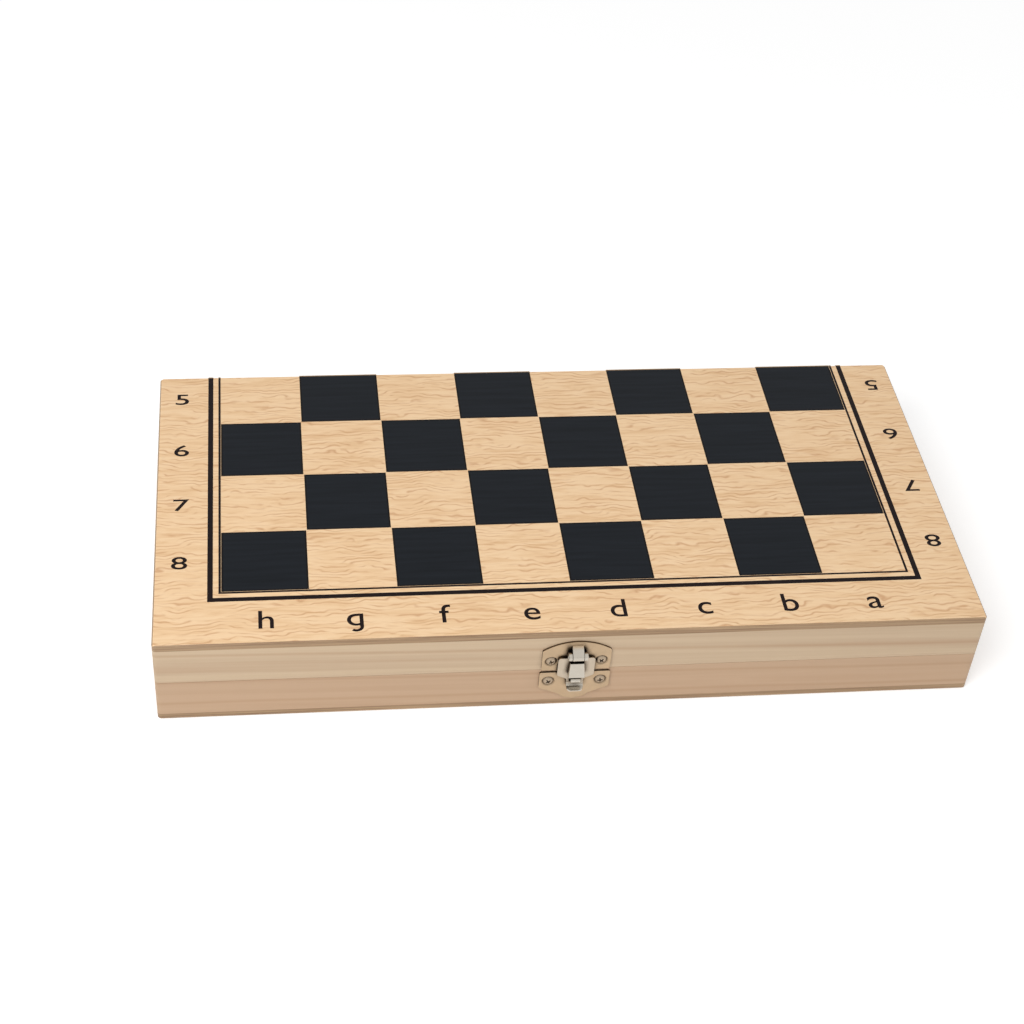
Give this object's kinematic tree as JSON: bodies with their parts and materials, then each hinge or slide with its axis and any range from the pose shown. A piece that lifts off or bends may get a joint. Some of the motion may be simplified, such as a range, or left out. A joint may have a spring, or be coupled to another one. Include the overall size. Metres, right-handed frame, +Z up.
{
  "type": "folding chess board",
  "caption": "Folding wooden chess board that closes into a flat box for its men, with butt hinges at the fold and a swinging hasp on the front.",
  "frame": {"origin": "middle of the underside of the closed wooden box", "axes": "+X along the fold, +Y from the hasp to the fold, +Z up out of the closed box's top"},
  "size_m": [0.24, 0.1256, 0.03],
  "materials": {
    "board_wood": "satin varnish",
    "rail_wood": "satin varnish",
    "dark_print": "matt ink",
    "line_print": "matt ink",
    "screw_steel": "nickel plated",
    "hinge_steel": "nickel plated",
    "hasp_nickel": "nickel plated"
  },
  "bodies": {
    "lower_half": {"lower_panel": "board_wood", "lower_front_rail": "rail_wood", "lower_back_rail": "rail_wood", "lower_left_rail": "rail_wood", "lower_right_rail": "rail_wood", "lower_dark_squares": "dark_print", "lower_border_lines": "line_print", "left_hinge_lower_leaf": "hinge_steel", "right_hinge_lower_leaf": "hinge_steel", "lower_hinge_screws": "screw_steel", "left_hinge_pin": "hinge_steel", "right_hinge_pin": "hinge_steel", "catch_plate": "hasp_nickel", "catch_plate_screws": "screw_steel"},
    "upper_half": {"upper_panel": "board_wood", "upper_front_rail": "rail_wood", "upper_back_rail": "rail_wood", "upper_left_rail": "rail_wood", "upper_right_rail": "rail_wood", "upper_dark_squares": "dark_print", "upper_border_lines": "line_print", "left_hinge_upper_leaf": "hinge_steel", "right_hinge_upper_leaf": "hinge_steel", "upper_hinge_screws": "screw_steel", "hasp_plate": "hasp_nickel", "hasp_plate_screws": "screw_steel"},
    "hasp_flap": {"hasp_flap": "hasp_nickel", "hasp_pin": "hasp_nickel"}
  },
  "joints": [
    {"name": "fold_hinge", "type": "hinge", "parent": "lower_half", "child": "upper_half", "pos_m": [0, 0.06025, 0.015], "axis": [-1, 0, 0], "range_deg": [0, 180]},
    {"name": "hasp_swing", "type": "hinge", "parent": "upper_half", "child": "hasp_flap", "pos_m": [0, -0.0622, 0.0222], "axis": [-1, 0, 0], "range_deg": [0, 150]}
  ]
}
